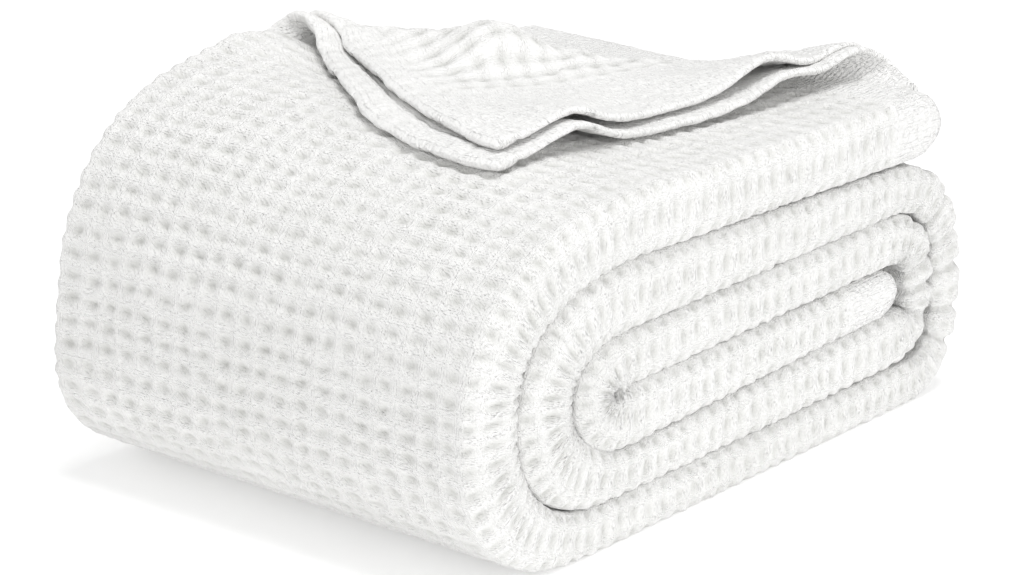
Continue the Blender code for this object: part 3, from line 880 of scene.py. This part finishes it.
def colour_and_painted_shade_group():
    """Colour of the cloth: whitest on the ridges, with shade painted into the pockets, greyer and warmer the
    lower the weave lies.
    """
    group, start, end = new_group(
        "cloth_colour_and_painted_shade",
        (
            ("Weave", "NodeSocketVector", None),
            ("Border", "NodeSocketFloat", 0.0),
            ("Patches", "NodeSocketFloat", 0.5),
            ("Ridge", "NodeSocketColor", RIDGE_COLOUR),
            ("Painted pocket shade", "NodeSocketColor", PAINTED_POCKET_SHADE_COLOUR),
        ),
        (("Color", "NodeSocketColor"),),
    )
    split = group.nodes.new("ShaderNodeSeparateXYZ")
    group.links.new(start.outputs["Weave"], split.inputs[0])
    # Painted shade: the lower the weave, the more its colour goes to the greyer, warmer pocket shade, except
    # in the flat borders
    painted_shade_mask = calculate(group, "SUBTRACT", 1.0, split.outputs[2])
    woven = calculate(group, "SUBTRACT", 1.0, start.outputs["Border"])
    painted_shade_mask = calculate(group, "MULTIPLY", painted_shade_mask, woven)
    uneven = calculate(group, "MULTIPLY_ADD", start.outputs["Patches"], PATCH_WEIGHT, PATCH_LEVEL)
    factor = calculate(group, "ADD", painted_shade_mask, uneven)
    mixed = group.nodes.new("ShaderNodeMix")
    mixed.data_type = "RGBA"
    group.links.new(factor, mixed.inputs[0])
    group.links.new(start.outputs["Ridge"], mixed.inputs[6])
    group.links.new(start.outputs["Painted pocket shade"], mixed.inputs[7])
    group.links.new(mixed.outputs[2], end.inputs["Color"])
    return group


def cotton():
    """Washed white cotton with its yarns, nap and soft sheen, and shade painted into the pockets of its
    weave.
    """
    material = bpy.data.materials.new("waffle_cotton")
    material.use_nodes = True
    tree = material.node_tree
    shader = tree.nodes["Principled BSDF"]
    shader.inputs["Metallic"].default_value = 0.0
    shader.inputs["Sheen Weight"].default_value = SHEEN
    shader.inputs["Sheen Roughness"].default_value = SHEEN_ROUGHNESS
    shader.inputs["Specular IOR Level"].default_value = SPECULAR_LEVEL
    weave = tree.nodes.new("ShaderNodeAttribute")
    weave.attribute_name = "weave"
    border = tree.nodes.new("ShaderNodeAttribute")
    border.attribute_name = "border"
    coordinates = tree.nodes.new("ShaderNodeTexCoord")
    nap_node = tree.nodes.new("ShaderNodeGroup")
    nap_node.node_tree = nap_group()
    tree.links.new(coordinates.outputs["Object"], nap_node.inputs["Place"])
    tree.links.new(weave.outputs["Vector"], nap_node.inputs["Weave"])
    thread_node = tree.nodes.new("ShaderNodeGroup")
    thread_node.node_tree = thread_group()
    tree.links.new(weave.outputs["Vector"], thread_node.inputs["Weave"])
    tree.links.new(border.outputs["Fac"], thread_node.inputs["Border"])
    tree.links.new(nap_node.outputs["Wander"], thread_node.inputs["Wander"])
    # The colour group gives the cloth its colour and paints shade into the pockets of its weave
    colour = tree.nodes.new("ShaderNodeGroup")
    colour.node_tree = colour_and_painted_shade_group()
    tree.links.new(weave.outputs["Vector"], colour.inputs["Weave"])
    tree.links.new(border.outputs["Fac"], colour.inputs["Border"])
    tree.links.new(nap_node.outputs["Patches"], colour.inputs["Patches"])
    tree.links.new(colour.outputs["Color"], shader.inputs["Base Color"])
    rough = calculate(tree, "MULTIPLY_ADD", nap_node.outputs["Height"], NAP_ROUGHNESS, ROUGHNESS)
    tree.links.new(rough, shader.inputs["Roughness"])
    yarns = tree.nodes.new("ShaderNodeBump")
    yarns.inputs["Strength"].default_value = YARN_STRENGTH
    yarns.inputs["Distance"].default_value = YARN_DEPTH
    tree.links.new(thread_node.outputs["Height"], yarns.inputs["Height"])
    lint = tree.nodes.new("ShaderNodeBump")
    lint.inputs["Strength"].default_value = NAP_STRENGTH
    lint.inputs["Distance"].default_value = NAP_DEPTH
    tree.links.new(nap_node.outputs["Height"], lint.inputs["Height"])
    tree.links.new(yarns.outputs["Normal"], lint.inputs["Normal"])
    tree.links.new(lint.outputs["Normal"], shader.inputs["Normal"])
    return material


def floor_material():
    """A plain matte material for the floor, with a faint glow of its own."""
    material = bpy.data.materials.new("pale_floor")
    material.use_nodes = True
    shader = material.node_tree.nodes["Principled BSDF"]
    shader.inputs["Base Color"].default_value = FLOOR_COLOUR
    shader.inputs["Roughness"].default_value = FLOOR_ROUGHNESS
    shader.inputs["Emission Color"].default_value = WHITE
    shader.inputs["Emission Strength"].default_value = FLOOR_GLOW
    return material


def make_camera():
    """The camera, at the angle from which the wound face and the left side both show."""
    data = bpy.data.cameras.new("camera")
    data.lens = CAMERA_LENS
    data.sensor_width = SENSOR_WIDTH
    camera = bpy.data.objects.new("camera", data)
    camera.location = CAMERA_PLACE
    camera.rotation_euler = (math.pi / 2 - CAMERA_DOWN, 0.0, CAMERA_TURN)
    bpy.context.scene.collection.objects.link(camera)
    bpy.context.scene.camera = camera


def soft_light(lamp):
    """A large disk of light that looks at the roll."""
    data = bpy.data.lights.new(lamp.name, "AREA")
    data.shape = "DISK"
    data.size = lamp.size
    data.energy = lamp.power
    light = bpy.data.objects.new(lamp.name, data)
    light.location = lamp.place
    light.rotation_euler = (Vector(LAMP_TARGET) - Vector(lamp.place)).to_track_quat("-Z", "Y").to_euler()
    bpy.context.scene.collection.objects.link(light)


def make_studio():
    """A plain pale floor and soft white light from all round."""
    mesh = bmesh.new()
    bmesh.ops.create_grid(mesh, x_segments=1, y_segments=1, size=FLOOR_SIZE)
    data = bpy.data.meshes.new("floor")
    mesh.to_mesh(data)
    mesh.free()
    data.materials.append(floor_material())
    floor = bpy.data.objects.new("floor", data)
    bpy.context.scene.collection.objects.link(floor)
    world = bpy.data.worlds.new("studio")
    world.use_nodes = True
    background = world.node_tree.nodes["Background"]
    background.inputs["Color"].default_value = WHITE
    background.inputs["Strength"].default_value = SURROUNDING_LIGHT
    bpy.context.scene.world = world
    bpy.context.scene.view_settings.view_transform = "Standard"
    for lamp in LAMPS:
        soft_light(lamp)


def make_roll(winding, cloth):
    """The wound strip, in five lengths that meet end to end."""
    hidden_face = lines_around(False)
    shown_face = lines_around(True)
    core_to = winding.place_of("inner_floor")
    wrap_from = winding.place_of("middle_top", WRAP_FROM_SHARE)
    floor_from = winding.place_of("floor", FLOOR_FROM_SHARE)
    floor_to = winding.place_of("floor", FLOOR_TO_SHARE)
    start_reach = winding.thick[0] / 2
    end_reach = winding.length - winding.thick[-1] / 2

    core_run = lines_along(winding, start_reach, core_to, LINES_A_CELL)
    core_lines = np.concatenate((end_lines(winding, True), core_run))
    inner_lines = lines_along(winding, core_to, wrap_from, LINES_A_CELL)
    right_lines = lines_along(winding, wrap_from, floor_from, LINES_A_CELL)
    floor_lines = lines_along(winding, floor_from, floor_to, FLOOR_LINES_A_CELL)
    outer_run = lines_along(winding, floor_to, end_reach, LINES_A_CELL)
    outer_lines = np.concatenate((outer_run, end_lines(winding, False)))
    rolls = [
        strip_piece("roll_core", winding, core_lines, hidden_face, cloth),
        strip_piece("roll_inner", winding, inner_lines, hidden_face, cloth),
        strip_piece("roll_right", winding, right_lines, shown_face, cloth),
        strip_piece("roll_floor", winding, floor_lines, shown_face, cloth),
        strip_piece("roll_outer", winding, outer_lines, shown_face, cloth),
    ]
    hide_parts("blanket")


make_camera()
winding = Winding()
corner = TurnedCorner(winding)
cloth = cotton()
make_roll(winding, cloth)
turned_ply(LOWER_PLY, corner, cloth)
turned_ply(UPPER_PLY, corner, cloth)
make_studio()
